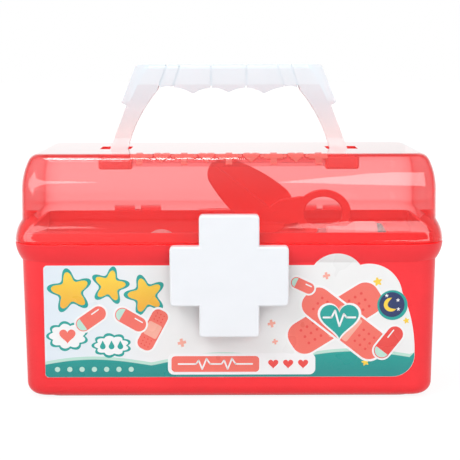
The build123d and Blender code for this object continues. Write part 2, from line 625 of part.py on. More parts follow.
def otoscope_head():
    """Head that flares from the cone's end to the wide lens."""
    length = 2 * OTO_HALF
    barrel = otoscope_part([
        Line((0, 0), (OTO_R - 1, 0)),
        Line((OTO_R - 1, 0), (OTO_R, 1)),
        Line((OTO_R, 1), (OTO_R, OTO_HALF - 3)),
        Line((OTO_R, OTO_HALF - 3), (OTO_LENS_R, OTO_HALF + 2)),
        Line((OTO_LENS_R, OTO_HALF + 2), (OTO_LENS_R, length - 1)),
        Line((OTO_LENS_R, length - 1), (OTO_LENS_R - 1, length)),
        Line((OTO_LENS_R - 1, length), (0, length)),
        Line((0, length), (0, 0)),
    ], OTO_X - OTO_HALF)
    neck = Pos(OTO_X, OTO_Y, OTO_JOINT_Z) * Circle(OTO_NECK_R)
    return barrel + extrude(neck, 6)


def otoscope_lens():
    radius, rim, top = OTO_LENS_R - 1, 2.4, 7.0
    return otoscope_part([
        Line((0, 0), (radius, 0)),
        Line((radius, 0), (radius, rim)),
        dome_arc(radius, rim, top),
        Line((0, top), (0, 0)),
    ], OTO_X + OTO_HALF)


def otoscope_collar():
    x1 = OTO_X - OTO_HALF
    return bar_x(OTO_R - 1.4, x1 - OTO_COLLAR_W, x1, OTO_Y, OTO_Z)


def otoscope_cone():
    x1 = OTO_X - OTO_HALF - OTO_COLLAR_W
    cone = Pos(x1 - 7, OTO_Y, OTO_Z) * Rot(0, -90, 0) * Cone(5.4, 2.6, 14)
    return cone - bar_x(1.6, x1 - 15, x1 - 6, OTO_Y, OTO_Z)


def hinge_pin(side):
    reach = EAR_GAP / 2 + EAR_W
    return bar_x(HINGE_PIN_R, side * HINGE_X - reach, side * HINGE_X + reach, HINGE_Y, HINGE_Z)


NODES = {
    "base_shell": base_shell,
    "front_label": front_label,
    "hinge_pin_left": lambda: hinge_pin(-1),
    "hinge_pin_right": lambda: hinge_pin(1),
    "clasp_pin": lambda: bar_x(CLASP_PIN_R, -CROSS_ARM + 2, CROSS_ARM - 2, CLASP_Y, CLASP_Z),
    "lid_shell": lid_shell,
    "carry_handle": carry_handle,
    "cross_clasp": cross_clasp,
    "tool_tray": tool_tray,
    "scissors_blade_front": scissors_blade_front,
    "scissors_blade_rear": scissors_blade_rear,
    "scissors_rivet": scissors_rivet,
    "medicine_bottle": medicine_bottle,
    "bottle_cap": bottle_cap,
    "otoscope_handle": otoscope_handle,
    "otoscope_head": otoscope_head,
    "otoscope_lens": otoscope_lens,
    "otoscope_collar": otoscope_collar,
    "otoscope_cone": otoscope_cone,
}

for name, make in NODES.items():
    save(make(), name)
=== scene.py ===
import cmath
import math

import bmesh
import bpy
from mathutils import Matrix, Vector


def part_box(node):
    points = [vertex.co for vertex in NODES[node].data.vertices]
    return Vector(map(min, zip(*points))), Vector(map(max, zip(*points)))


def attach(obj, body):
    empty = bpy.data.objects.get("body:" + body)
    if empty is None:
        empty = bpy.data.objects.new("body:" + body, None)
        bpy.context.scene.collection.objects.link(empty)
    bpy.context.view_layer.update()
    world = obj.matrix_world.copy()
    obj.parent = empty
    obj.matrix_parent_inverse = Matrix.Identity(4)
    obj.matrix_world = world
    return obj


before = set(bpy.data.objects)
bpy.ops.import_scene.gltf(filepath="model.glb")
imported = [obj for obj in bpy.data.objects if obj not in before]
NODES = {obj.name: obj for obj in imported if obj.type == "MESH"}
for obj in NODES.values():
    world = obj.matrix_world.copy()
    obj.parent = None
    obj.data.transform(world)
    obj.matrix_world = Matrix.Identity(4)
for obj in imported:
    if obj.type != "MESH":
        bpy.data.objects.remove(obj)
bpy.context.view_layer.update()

MM = 0.001

# ---------------------------------------------------------------------------
# Colours, as linear light
# ---------------------------------------------------------------------------

TUB_RED = (0.96, 0.036, 0.046)
SEAM_SHADE_RED = (0.93, 0.004, 0.008)         # painted shade: darker red on the tub's narrow top edge, where the lid shades it
TRAY_RED = (0.99, 0.090, 0.085)
TOOL_RED = (0.99, 0.040, 0.036)
WHITE = (0.84, 0.87, 0.91)
HANDLE_WHITE = (0.80, 0.89, 0.94)
# painted light: the handle's legs made paler than its grip, for light they lack beside the lid
HANDLE_LEG_LIGHT = (0.92, 1.0, 1.0)
TOOL_WHITE = (0.80, 0.80, 0.78)
TOOL_TEAL = (0.02, 0.50, 0.47)
STEEL = (0.55, 0.55, 0.57)
COLLAR_GREY = (0.55, 0.56, 0.58)

CLEAR_DEPTH = (0.993, 0.0, 0.02)        # what the clear plastic lets through in depth
CLEAR_DENSITY = 280.0                   # a metre
CLEAR_HAZE = (1.0, 0.170, 0.160)        # light scattered in it
RELIEF_HAZE = (1.0, 0.24, 0.20)
POCKET_HAZE = (1.0, 0.22, 0.19)

INK_GROUND = (0.74, 0.84, 0.92)
INK_PALE = (0.86, 0.87, 0.87)
INK_TEAL = (0.0, 0.36, 0.32)
INK_DEEP_TEAL = (0.0, 0.26, 0.25)
INK_MINT = (0.50, 0.76, 0.66)
INK_RED = (0.84, 0.060, 0.050)
INK_CORAL = (0.90, 0.16, 0.12)
INK_BLUSH = (0.93, 0.42, 0.33)
INK_YELLOW = (0.95, 0.66, 0.05)
INK_ORANGE = (0.86, 0.33, 0.02)
INK_NAVY = (0.010, 0.030, 0.13)
INK_WHITE = (0.90, 0.91, 0.92)


# ---------------------------------------------------------------------------
# Node helpers
# ---------------------------------------------------------------------------

class Tree:
    """A material's node tree, with short calls for the nodes used here."""

    def __init__(self, name, world=None):
        self.material = world or bpy.data.materials.new(name)
        self.material.use_nodes = True
        self.tree = self.material.node_tree
        self.tree.nodes.clear()
        self.output = self.node("ShaderNodeOutputWorld" if world else "ShaderNodeOutputMaterial")

    def node(self, kind, **settings):
        made = self.tree.nodes.new(kind)
        for key, value in settings.items():
            setattr(made, key, value)
        return made

    def link(self, source, target):
        self.tree.links.new(source, target)

    def feed(self, target, value):
        """Link a socket, or set a plain value."""
        if isinstance(value, bpy.types.NodeSocket):
            self.link(value, target)
        elif isinstance(value, tuple) and len(value) == 3 and target.type == "RGBA":
            target.default_value = (*value, 1.0)
        else:
            target.default_value = value

    def math(self, operation, *values, clamp=False):
        made = self.node("ShaderNodeMath", operation=operation, use_clamp=clamp)
        for socket, value in zip(made.inputs, values):
            self.feed(socket, value)
        return made.outputs[0]

    def spread(self, value, low, high, to_low, to_high):
        made = self.node("ShaderNodeMapRange")
        for key, number in (("Value", value), ("From Min", low), ("From Max", high),
                            ("To Min", to_low), ("To Max", to_high)):
            self.feed(made.inputs[key], number)
        return made.outputs["Result"]

    def mix(self, factor, first, second):
        made = self.node("ShaderNodeMix", data_type="RGBA")
        self.feed(made.inputs[0], factor)
        self.feed(made.inputs[6], first)
        self.feed(made.inputs[7], second)
        return made.outputs[2]

    def mix_shaders(self, factor, first, second):
        made = self.node("ShaderNodeMixShader")
        self.feed(made.inputs[0], factor)
        self.link(first.outputs[0], made.inputs[1])
        self.link(second.outputs[0], made.inputs[2])
        return made

    def mix_normals(self, factor, first, second):
        made = self.node("ShaderNodeMix", data_type="VECTOR")
        self.feed(made.inputs[0], factor)
        self.feed(made.inputs[4], first)
        self.feed(made.inputs[5], second)
        return made.outputs[1]

    def place(self, stretch=(1.0, 1.0, 1.0)):
        """The object's own coordinates, in metres, stretched for streaks."""
        coordinates = self.node("ShaderNodeTexCoord")
        mapping = self.node("ShaderNodeMapping")
        self.link(coordinates.outputs["Object"], mapping.inputs["Vector"])
        mapping.inputs["Scale"].default_value = stretch
        return mapping.outputs["Vector"]

    def axes(self):
        """The object's own X, Y and Z, in metres."""
        parts = self.node("ShaderNodeSeparateXYZ")
        self.link(self.place(), parts.inputs[0])
        return parts.outputs

    def noise(self, vector, scale, detail=2.0, rough=0.5):
        made = self.node("ShaderNodeTexNoise")
        self.link(vector, made.inputs["Vector"])
        made.inputs["Scale"].default_value = scale
        made.inputs["Detail"].default_value = detail
        made.inputs["Roughness"].default_value = rough
        return made.outputs["Fac"]

    def cells(self, vector, scale):
        made = self.node("ShaderNodeTexVoronoi", feature="DISTANCE_TO_EDGE")
        self.link(vector, made.inputs["Vector"])
        made.inputs["Scale"].default_value = scale
        return made.outputs["Distance"]

    def bump(self, height, distance, strength=1.0, under=None):
        made = self.node("ShaderNodeBump")
        made.inputs["Strength"].default_value = strength
        made.inputs["Distance"].default_value = distance
        self.link(height, made.inputs["Height"])
        if under is not None:
            self.link(under, made.inputs["Normal"])
        return made.outputs["Normal"]

    def principled(self, **values):
        made = self.node("ShaderNodeBsdfPrincipled")
        for key, value in values.items():
            self.feed(made.inputs[key.replace("_", " ")], value)
        return made

    def matt(self, level):
        made = self.node("ShaderNodeBsdfDiffuse")
        made.inputs["Color"].default_value = (level, level, level, 1.0)
        return made

    def glow(self, strength):
        made = self.node("ShaderNodeEmission")
        self.feed(made.inputs["Strength"], strength)
        return made

    def finish(self, shader):
        """Make the shader the surface, and give the finished material."""
        self.link(shader.outputs[0], self.output.inputs["Surface"])
        return self.material


def scratches(tree, stretch):
    """Fine handling marks: thin lines of a stretched noise."""
    lines = tree.noise(tree.place(stretch), 160.0, 3.0, 0.7)
    return tree.spread(lines, 0.62, 0.70, 0.0, 1.0)


def moulded(name, colour, roughness, flow=0.035, specular=0.5, band=None):
    """Injection moulded plastic: faint flow marks, fine grain and handling marks.

    band paints shade or light: another colour, the two heights that it lies between, and the width over which
    it fades in.
    """
    tree = Tree(name)
    clouds = tree.noise(tree.place((1.0, 1.0, 2.2)), 26.0, 3.0, 0.55)
    light = tuple(min(1.0, c * (1 + flow)) for c in colour)
    dark = tuple(c * (1 - flow) for c in colour)
    shade = tree.mix(tree.spread(clouds, 0.3, 0.7, 0.0, 1.0), dark, light)
    if band is not None:
        other, low, high, edge = band
        shade = tree.mix(inside_box(tree, (0.0, -1.0, low), (1.0, 1.0, high), edge), shade, other)
    fine = tree.noise(tree.place(), 2600.0, 2.0, 0.6)
    marks = scratches(tree, (1.0, 1.0, 14.0))
    gloss = tree.spread(fine, 0.3, 0.7, roughness - 0.04, roughness + 0.04)
    gloss = tree.math("ADD", gloss, tree.math("MULTIPLY", marks, 0.06))
    sink = tree.bump(clouds, 0.00025, 0.25)
    normal = tree.bump(fine, GRAIN, 0.6, sink)
    shader = tree.principled(Base_Color=shade, Roughness=gloss, Normal=normal)
    shader.inputs["Specular IOR Level"].default_value = specular
    return tree.finish(shader)


def inside_box(tree, low, high, edge=0.0004):
    """1 inside a box given in metres, mirrored in X, and 0 outside it."""
    x, y, z = tree.axes()
    mask = 1.0
    for value, least, most in zip((tree.math("ABSOLUTE", x), y, z), low, high):
        for limit, sign in ((least, 1.0), (most, -1.0)):
            side = tree.math("MULTIPLY_ADD", value, sign / edge, -sign * limit / edge, clamp=True)
            mask = tree.math("MULTIPLY", side, mask)
    return mask


def rim_swell(tree):
    """Height that fills the flare above the rim, 0 at its foot and 1 at its top."""
    return tree.math("POWER", tree.spread(tree.axes()["Z"], RIM_FOOT, RIM_HEAD, 0.0, 1.0), RIM_CURVE)


def clear_moulding(name, haze, haze_colour=CLEAR_HAZE, deep_box=None):
    """Clear red polystyrene: it tints by its depth, and shines more where one looks along it.

    Inside deep_box, where several walls stand one behind the other, it is nearly opaque.
    """
    tree = Tree(name)
    facing = tree.node("ShaderNodeLayerWeight")
    facing.inputs["Blend"].default_value = 0.5
    clouds = tree.noise(tree.place((1.0, 1.0, 1.6)), 22.0, 2.0, 0.5)
    fine = tree.noise(tree.place(), 1500.0, 2.0, 0.5)
    wave = tree.bump(clouds, 0.0006, 0.08)
    normal = tree.bump(fine, 0.000004, 0.3, wave)
    swollen = tree.bump(rim_swell(tree), RIM_SWELL, 1.0, normal)
    normal = tree.mix_normals(tree.spread(facing.outputs["Facing"], 0.15, 0.45, 0.0, 1.0), swollen, normal)
    marks = scratches(tree, (1.0, 1.0, 9.0))
    rays = tree.node("ShaderNodeLightPath")
    lit = tree.math("SUBTRACT", 1.0, rays.outputs["Is Shadow Ray"])
    looked_at = tree.math("SUBTRACT", lit, rays.outputs["Is Diffuse Ray"], clamp=True)

    through = tree.node("ShaderNodeBsdfTransparent")
    cover = tree.math("MULTIPLY_ADD", marks, 0.02, haze)
    if deep_box is not None:
        deep = inside_box(tree, *deep_box)
        cover = tree.math("MAXIMUM", cover, tree.math("MULTIPLY", deep, DEEP_HAZE))
        haze_colour = tree.mix(deep, haze_colour, POCKET_HAZE)
    body = tree.principled(Base_Color=haze_colour, Roughness=0.35, Normal=normal)
    body.inputs["Specular IOR Level"].default_value = 0.0
    hazy = tree.mix_shaders(tree.math("MULTIPLY", cover, looked_at), through, body)

    shine = tree.node("ShaderNodeBsdfGlossy")
    shine.inputs["Color"].default_value = (1.0, 1.0, 1.0, 1.0)
    tree.feed(shine.inputs["Roughness"], tree.spread(clouds, 0.3, 0.7, 0.02, 0.05))
    tree.link(normal, shine.inputs["Normal"])
    mirror = tree.math("MULTIPLY_ADD", tree.math("POWER", facing.outputs["Facing"], MIRROR_POWER),
                       MIRROR_ALONG, tree.math("MULTIPLY", looked_at, MIRROR_ACROSS))
    mirror = tree.math("ADD", mirror, tree.spread(facing.outputs["Facing"], *MIRROR_EDGE))
    surface = tree.mix_shaders(tree.math("MULTIPLY", mirror, lit), hazy, shine)

    depth = tree.node("ShaderNodeVolumeAbsorption")
    depth.inputs["Color"].default_value = (*CLEAR_DEPTH, 1.0)
    depth.inputs["Density"].default_value = CLEAR_DENSITY
    tree.link(depth.outputs[0], tree.output.inputs["Volume"])
    return tree.finish(surface)


def drawn_steel():
    """Drawn wire: fine lines round the pins."""
    tree = Tree("steel_pin")
    lines = tree.noise(tree.place((0.06, 1.0, 1.0)), 3000.0, 2.0, 0.6)
    gloss = tree.spread(lines, 0.3, 0.7, 0.22, 0.38)
    normal = tree.bump(lines, 0.000008)
    return tree.finish(tree.principled(Base_Color=STEEL, Metallic=1.0, Roughness=gloss, Normal=normal))


def ink(name, colour, second=None, axis="Z", low=0.0, high=1.0):
    """Printed colour on the satin sticker, with a fine screen; may fade to a second colour."""
    tree = Tree(name)
    shade = colour
    if second is not None:
        shade = tree.mix(tree.spread(tree.axes()[axis], low, high, 0.0, 1.0), colour, second)
    screen = tree.cells(tree.place(), 3200.0)
    dots = tree.spread(screen, 0.0, 0.25, 0.0, 0.04)
    shade = tree.mix(dots, shade, INK_WHITE)
    film = tree.noise(tree.place(), 45.0, 2.0, 0.5)
    gloss = tree.spread(film, 0.3, 0.7, 0.26, 0.36)
    normal = tree.bump(film, 0.00012, 0.3)
    return tree.finish(tree.principled(Base_Color=shade, Roughness=gloss, Normal=normal))


def put_in_scene(name, data):
    """Object for a mesh, a lamp or a camera."""
    thing = bpy.data.objects.new(name, data)
    bpy.context.scene.collection.objects.link(thing)
    return thing


def dress(node, material):
    """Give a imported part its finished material."""
    mesh = NODES[node].data
    mesh.materials.clear()
    mesh.materials.append(material)


# ---------------------------------------------------------------------------
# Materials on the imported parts
# ---------------------------------------------------------------------------

GRAIN = 0.00001
MIRROR_ACROSS, MIRROR_ALONG, MIRROR_POWER = 0.04, 0.93, 5.0     # gloss of the clear plastic, by its slant
MIRROR_EDGE = 0.60, 0.92, 0.0, 0.22                             # and what its edges add
SEAM_SHADE_BAND = SEAM_SHADE_RED, 0.0892, 0.0904, 0.0002                    # painted shade along the seam: colour, foot, head and fade
# painted light on the handle's legs: colour, foot, head and fade
LEG_LIGHT_BAND = HANDLE_LEG_LIGHT, 0.0, 0.168, 0.018
POCKET_BOX = ((0.0570, -0.0132, 0.1278), (0.0778, 0.0132, 0.1376))      # the two cups that hold the handle
LID_HAZE, RELIEF_COVER, DEEP_HAZE = 0.08, 0.45, 0.72
RIM_FOOT, RIM_HEAD = 0.0920, 0.1025     # the flare of the lid's rim
RIM_SWELL, RIM_CURVE = 0.0024, 1.75     # how far it swells for gloss, and how late

# tub_red carries the painted shade band where the lid meets the tub
tub_red = moulded("tub_red", TUB_RED, 0.30, specular=0.3, band=SEAM_SHADE_BAND)
tray_red = moulded("tray_red", TRAY_RED, 0.34)
tool_red = moulded("tool_red", TOOL_RED, 0.30)
white_plastic = moulded("white_plastic", WHITE, 0.36, flow=0.012)
# handle_white carries the painted light on its legs
handle_white = moulded("handle_white", HANDLE_WHITE, 0.36, flow=0.012, band=LEG_LIGHT_BAND)
tool_white = moulded("tool_white", TOOL_WHITE, 0.34, flow=0.015)
tool_teal = moulded("tool_teal", TOOL_TEAL, 0.30)
collar_grey = moulded("collar_grey", COLLAR_GREY, 0.24)
clear_red = clear_moulding("lid_clear_red", LID_HAZE, deep_box=POCKET_BOX)
steel = drawn_steel()

LOOKS = {
    tub_red: ["base_shell"],
    clear_red: ["lid_shell"],
    white_plastic: ["cross_clasp"],
    handle_white: ["carry_handle"],
    tray_red: ["tool_tray"],
    tool_red: ["scissors_blade_front", "scissors_blade_rear", "scissors_rivet", "otoscope_handle"],
    tool_white: ["medicine_bottle", "bottle_cap", "otoscope_head"],
    tool_teal: ["otoscope_lens", "otoscope_cone"],
    collar_grey: ["otoscope_collar"],
    steel: ["hinge_pin_left", "hinge_pin_right", "clasp_pin"],
}
for material, nodes in LOOKS.items():
    for node in nodes:
        dress(node, material)

label_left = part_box("front_label")[0].x
dress("front_label", ink("label_ground", INK_GROUND, INK_PALE, "X", label_left, label_left * 0.35))


# ---------------------------------------------------------------------------
# Flat outlines, in millimetres
# ---------------------------------------------------------------------------

STAR_ARMS = 5


def disc(x, z, radius, points=40):
    return [(x + radius * math.cos(math.tau * i / points), z + radius * math.sin(math.tau * i / points))
            for i in range(points)]


def turned(outline, x, z, degrees=0.0):
    """Turn an outline drawn round the origin and set it down at (x, z)."""
    c, s = math.cos(math.radians(degrees)), math.sin(math.radians(degrees))
    return [(x + c * u - s * v, z + s * u + c * v) for u, v in outline]


def rounded_box(x, z, half_x, half_z, radius, degrees=0.0, steps=8):
    corners = [(1, 1), (-1, 1), (-1, -1), (1, -1)]
    outline = []
    for quarter, (sx, sz) in enumerate(corners):
        for i in range(steps + 1):
            angle = math.radians(90.0 * (quarter + i / steps))
            outline.append((sx * (half_x - radius) + radius * math.cos(angle),
                            sz * (half_z - radius) + radius * math.sin(angle)))
    return turned(outline, x, z, degrees)


def rounded_star(x, z, radius, degrees, waist=0.56, points=100):
    """Star with soft tips: the radius swings between tip and waist."""
    outline = []
    for i in range(points):
        angle = math.tau * i / points
        swing = (0.5 + 0.5 * math.cos(STAR_ARMS * angle)) ** 1.35
        reach = radius * (waist + (1 - waist) * swing)
        outline.append((reach * math.cos(angle), reach * math.sin(angle)))
    return turned(outline, x, z, degrees + 90.0)


def heart(x, z, size, points=60):
    outline = []
    for i in range(points):
        t = math.tau * i / points
        outline.append((size * math.sin(t) ** 3,
                        size * (13 * math.cos(t) - 5 * math.cos(2 * t) - 2 * math.cos(3 * t)
                                - math.cos(4 * t)) / 16))
    return turned(outline, x, z)


def plus(x, z, reach, arm, degrees=0.0):
    outline = [(reach, arm), (arm, arm), (arm, reach), (-arm, reach), (-arm, arm), (-reach, arm),
               (-reach, -arm), (-arm, -arm), (-arm, -reach), (arm, -reach), (arm, -arm), (reach, -arm)]
    return turned(outline[::-1], x, z, degrees)


def cloud(x, z, half_x, half_z, puffs=9, depth=0.10, points=140):
    """Oval whose edge swells into even puffs."""
    outline = []
    for i in range(points):
        angle = math.tau * i / points
        swell = 1.0 - depth + depth * 2.0 * abs(math.sin(puffs * angle / 2))
        outline.append((x + half_x * swell * math.cos(angle), z + half_z * swell * math.sin(angle)))
    return outline


def drop(x, z, radius, height, points=44):
    outline = []
    for i in range(points):
        angle = math.tau * i / points
        pull = max(0.0, math.sin(angle)) ** 6
        outline.append((radius * math.cos(angle) * (1 - 0.35 * pull),
                        radius * math.sin(angle) + (height - radius) * pull))
    return turned(outline, x, z)


def crescent(x, z, radius, degrees, points=24):
    """Moon between a full circle's left half and a shallower arc."""
    outer = [(radius * math.cos(a), radius * math.sin(a))
             for a in (math.radians(60 + 240 * i / points) for i in range(points + 1))]
    x_tip, z_tip = outer[0]
    inner = []
    for i in range(1, points):
        part = 1 - 2 * i / points
        inner.append((x_tip - 0.95 * radius * (1 - part * part), -z_tip * part))
    return turned(outer + inner, x, z, degrees)


def stroke(draw, line, width, material, layer):
    """Line of an even width with round joints, one pill for each of its runs."""
    for (x0, z0), (x1, z1) in zip(line, line[1:]):
        half = math.hypot(x1 - x0, z1 - z0) / 2 + width / 2
        turn = math.degrees(math.atan2(z1 - z0, x1 - x0))
        pill = rounded_box((x0 + x1) / 2, (z0 + z1) / 2, half, width / 2, width / 2 - 0.01, turn, 4)
        draw(pill, material, layer)


def three_point_arc(start, middle, end, steps=10):
    """Points of the circle through three points, from start to end."""
    a, b, c = (complex(*p) for p in (start, middle, end))
    w = (c - a) / (b - a)
    centre = a - (a - b) * (w - abs(w) ** 2) / 2j / w.imag
    first, mid, last = (cmath.phase(p - centre) for p in (a, b, c))
    turn = (last - first) % math.tau
    if (mid - first) % math.tau > turn:
        turn -= math.tau
    arc = [centre + cmath.rect(abs(a - centre), first + turn * i / steps) for i in range(steps + 1)]
    return [(p.real, p.imag) for p in arc]


class Plates:
    """Closed plates from flat outlines, gathered in one mesh, each in its own material."""

    def __init__(self):
        self.mesh = bmesh.new()
        self.materials = []

    def add(self, outline, low, high, material):
        """A prism over the outline between two heights above the sheet."""
        if material not in self.materials:
            self.materials.append(material)
        index = self.materials.index(material)
        area = sum(a[0] * b[1] - b[0] * a[1] for a, b in zip(outline, outline[1:] + outline[:1]))
        if area < 0:
            outline = outline[::-1]
        floor = [self.mesh.verts.new((x, z, low)) for x, z in outline]
        roof = [self.mesh.verts.new((x, z, high)) for x, z in outline]
        faces = [self.mesh.faces.new(floor[::-1]), self.mesh.faces.new(roof)]
        for i in range(len(outline)):
            j = (i + 1) % len(outline)
            faces.append(self.mesh.faces.new((floor[i], floor[j], roof[j], roof[i])))
        for face in faces:
            face.material_index = index

    def cut_across(self, step, low, high):
        """Split every face at even steps of the second coordinate, so that the sheet can bend."""
        for i in range(int((high - low) / step) + 1):
            everything = self.mesh.verts[:] + self.mesh.edges[:] + self.mesh.faces[:]
            bmesh.ops.bisect_plane(self.mesh, geom=everything, plane_co=(0, low + i * step, 0),
                                   plane_no=(0, 1, 0), dist=1e-6)

    def finish(self, name, place):
        """Lay the plates on a surface: place(u, v, height) gives a point in millimetres."""
        self.mesh.normal_update()
        bmesh.ops.triangulate(self.mesh, faces=self.mesh.faces[:])
        for vert in self.mesh.verts:
            vert.co = Vector(place(*vert.co)) * MM
        bmesh.ops.recalc_face_normals(self.mesh, faces=self.mesh.faces[:])
        if self.mesh.calc_volume(signed=True) < 0:
            bmesh.ops.reverse_faces(self.mesh, faces=self.mesh.faces[:])
        data = bpy.data.meshes.new(name)
        self.mesh.to_mesh(data)
        self.mesh.free()
        for material in self.materials:
            data.materials.append(material)
        return put_in_scene(name, data)


# ---------------------------------------------------------------------------
# Print on the label
# ---------------------------------------------------------------------------

WALL_DRAFT = math.tan(math.radians(1.25))
BELT_Z = 79.0                   # the wall ends here, and is furthest forward
LABEL_FACE_Y = -62.1            # face of the sticker at that height
LABEL_LEFT, LABEL_BOTTOM = -105.0, 13.0
PRINT_GAP = 0.1                 # from the sticker's edge to the print
PRINT_LEFT, PRINT_BOTTOM = LABEL_LEFT + PRINT_GAP, LABEL_BOTTOM + PRINT_GAP
PRINT_CORNER = (105.3, 27.0), (102.3, 17.3), (92.6, PRINT_BOTTOM)     # the large round at its lower right
HILL_BASE, HILL_RISE, HILL_STEPS = 20.5, 4.6, 80
INK_SUNK, INK_STEP = 0.15, 0.025        # each layer of ink stands this much prouder

ink_teal = ink("ink_teal", INK_DEEP_TEAL, INK_TEAL, "Z", 0.013, 0.030)
ink_flat_teal = ink("ink_flat_teal", INK_TEAL)
ink_mint = ink("ink_mint", INK_MINT)
ink_red = ink("ink_red", INK_RED)
ink_coral = ink("ink_coral", INK_CORAL)
ink_blush = ink("ink_blush", INK_BLUSH)
ink_yellow = ink("ink_yellow", INK_ORANGE, INK_YELLOW, "Z", 0.044, 0.072)
ink_sun = ink("ink_sun", INK_YELLOW)
ink_navy = ink("ink_navy", INK_NAVY)
ink_white = ink("ink_white", INK_WHITE)


def label_place(x, z, height):
    return x, LABEL_FACE_Y + (BELT_Z - z) * WALL_DRAFT - height, z


def label_artwork():
    """Stars, hearts, plasters and capsules over a band of hills, on the front sticker."""
    art = Plates()

    def draw(outline, material, layer):
        art.add(outline, -INK_SUNK, INK_STEP * (layer + 1), material)

    def band(lift):
        """Foot of the sticker up to a line of hills, inside the sticker's outline."""
        hills = []
        for i in range(HILL_STEPS):
            x = PRINT_LEFT + (PRINT_CORNER[0][0] - PRINT_LEFT) * i / HILL_STEPS
            wave = HILL_RISE * abs(math.sin((x + 118.0) / 23.5)) + 0.03 * (x + 20.0)
            hills.append((x, HILL_BASE + lift + wave))
        corner = [(LABEL_LEFT + 2.0, PRINT_BOTTOM), (LABEL_LEFT + 0.6, LABEL_BOTTOM + 0.6),
                  (PRINT_LEFT, LABEL_BOTTOM + 2.0)]
        return three_point_arc(*PRINT_CORNER) + corner + hills

    draw(band(1.8), ink_mint, 0)
    draw(band(0.0), ink_teal, 1)

    for x, z, size, turn in ((-90.0, 63.0, 11.0, 10.0), (-67.5, 66.0, 9.0, -12.0), (-47.5, 60.5, 10.0, 16.0)):
        draw(rounded_star(x, z, size + 2.3, turn), ink_flat_teal, 1)
        draw(rounded_star(x, z, size, turn), ink_yellow, 2)
    for x, z, turn in ((-78.5, 47.0, 35.0), (-56.0, 46.5, -30.0)):
        capsule(draw, x, z, 9.5, 4.2, turn, ink_coral, 6)
    draw(cloud(-92.0, 37.0, 11.0, 8.0), ink_flat_teal, 2)
    draw(cloud(-92.0, 37.0, 9.6, 6.6), ink_white, 3)
    draw(heart(-92.0, 37.4, 4.6), ink_coral, 4)
    draw(cloud(-67.0, 31.5, 10.4, 6.6), ink_flat_teal, 2)
    draw(cloud(-67.0, 31.5, 9.0, 5.2), ink_white, 3)
    for i in range(3):
        draw(drop(-72.0 + 5.0 * i, 30.9, 1.6, 3.4), ink_flat_teal, 4)
    plaster(draw, -43.5, 40.5, 12.5, 4.8, 62.0, 3)
    for i in range(7):
        draw(disc(-98.0 + 7.0 * i, 17.6, 1.5, 20), ink_mint, 2)

    draw(rounded_box(7.0, 20.6, 42.0, 6.2, 3.4), ink_white, 2)
    draw(rounded_box(-8.0, 20.6, 25.0, 4.6, 2.2), ink_coral, 3)
    pulse = [(-29.0, 20.6), (-19.0, 20.6), (-17.5, 22.8), (-15.5, 17.6), (-13.0, 23.8), (-11.0, 20.6),
             (-4.5, 20.6), (-3.0, 22.8), (-1.0, 17.6), (1.5, 23.8), (3.5, 20.6), (13.0, 20.6)]
    stroke(draw, pulse, 0.9, ink_white, 4)
    for i in range(3):
        draw(heart(25.0 + 8.5 * i, 20.8, 2.9), ink_red, 3)

    plaster(draw, 60.0, 47.0, 29.0, 9.6, 32.0, 3)
    plaster(draw, 65.0, 44.0, 27.0, 9.0, -38.0, 6)
    draw(heart(62.5, 46.6, 12.4), ink_white, 9)
    draw(heart(62.5, 46.6, 11.0), ink_flat_teal, 10)
    beat = [(53.5, 47.5), (58.0, 47.5), (60.0, 51.5), (62.5, 42.5), (65.0, 49.5), (66.5, 47.5), (71.5, 47.5)]
    stroke(draw, beat, 1.1, ink_white, 11)
    draw(disc(92.5, 54.5, 8.6), ink_flat_teal, 5)
    draw(disc(92.2, 54.8, 7.2), ink_navy, 6)
    draw(crescent(91.6, 54.8, 4.0, 20.0), ink_sun, 7)
    for x, z in ((95.6, 57.4), (95.9, 52.2), (89.2, 60.0)):
        draw(rounded_star(x, z, 1.1, 0.0, waist=0.4), ink_white, 7)
    capsule(draw, 90.5, 33.0, 10.5, 4.6, 52.0, ink_red, 9)
    capsule(draw, 41.5, 66.0, 7.0, 3.2, -25.0, ink_coral, 9)
    for x, z, size in ((84.0, 68.0, 2.6), (77.5, 21.5, 2.2), (100.5, 45.5, 1.8)):
        draw(rounded_star(x, z, size, 12.0), ink_sun, 4)
    for x, z, size in ((55.0, 71.5, 2.0), (24.0, 44.0, 2.2), (-27.0, 33.0, 2.4), (26.0, 33.5, 1.6)):
        draw(plus(x, z, size, size * 0.34, 12.0), ink_blush, 2)
    return art.finish("label_artwork", label_place)


def capsule(draw, x, z, half, radius, turn, material, layer):
    """Two-coloured capsule with a white edge and a shine line."""
    draw(rounded_box(x, z, half + 1.0, radius + 1.0, radius + 0.9, turn), ink_white, layer)
    draw(rounded_box(x, z, half, radius, radius - 0.05, turn), material, layer + 1)
    cap = [(u, v) for u, v in rounded_box(0, 0, half - 0.5, radius - 0.5, radius - 0.55) if u < 0.0]
    draw(turned(cap, x, z, turn), ink_mint, layer + 2)
    shine = rounded_box(half * 0.45, radius * 0.45, half * 0.28, 0.35, 0.3)
    draw(turned(shine, x, z, turn), ink_white, layer + 2)


def plaster(draw, x, z, half, wide, turn, layer):
    """Sticking plaster: strip, pad and rows of small holes."""
    draw(rounded_box(x, z, half + 1.2, wide + 1.2, wide * 0.8 + 1.0, turn), ink_white, layer)
    draw(rounded_box(x, z, half, wide, wide * 0.8, turn), ink_coral, layer + 1)
    draw(rounded_box(x, z, wide * 0.86, wide * 0.86, 1.2, turn), ink_blush, layer + 2)
    for side in (-1, 1):
        for row in (-1, 0, 1):
            for column in range(3):
                u = side * (wide * 1.25 + column * wide * 0.42)
                v = row * wide * 0.45
                if abs(u) < half - wide * 0.2:
                    centre = turned([(u, v)], x, z, turn)[0]
                    draw(disc(*centre, wide * 0.085, 14), ink_red, layer + 2)


artwork = label_artwork()
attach(artwork, "case_base")


# ---------------------------------------------------------------------------
# Raised row on the lid's front shoulder
# ---------------------------------------------------------------------------

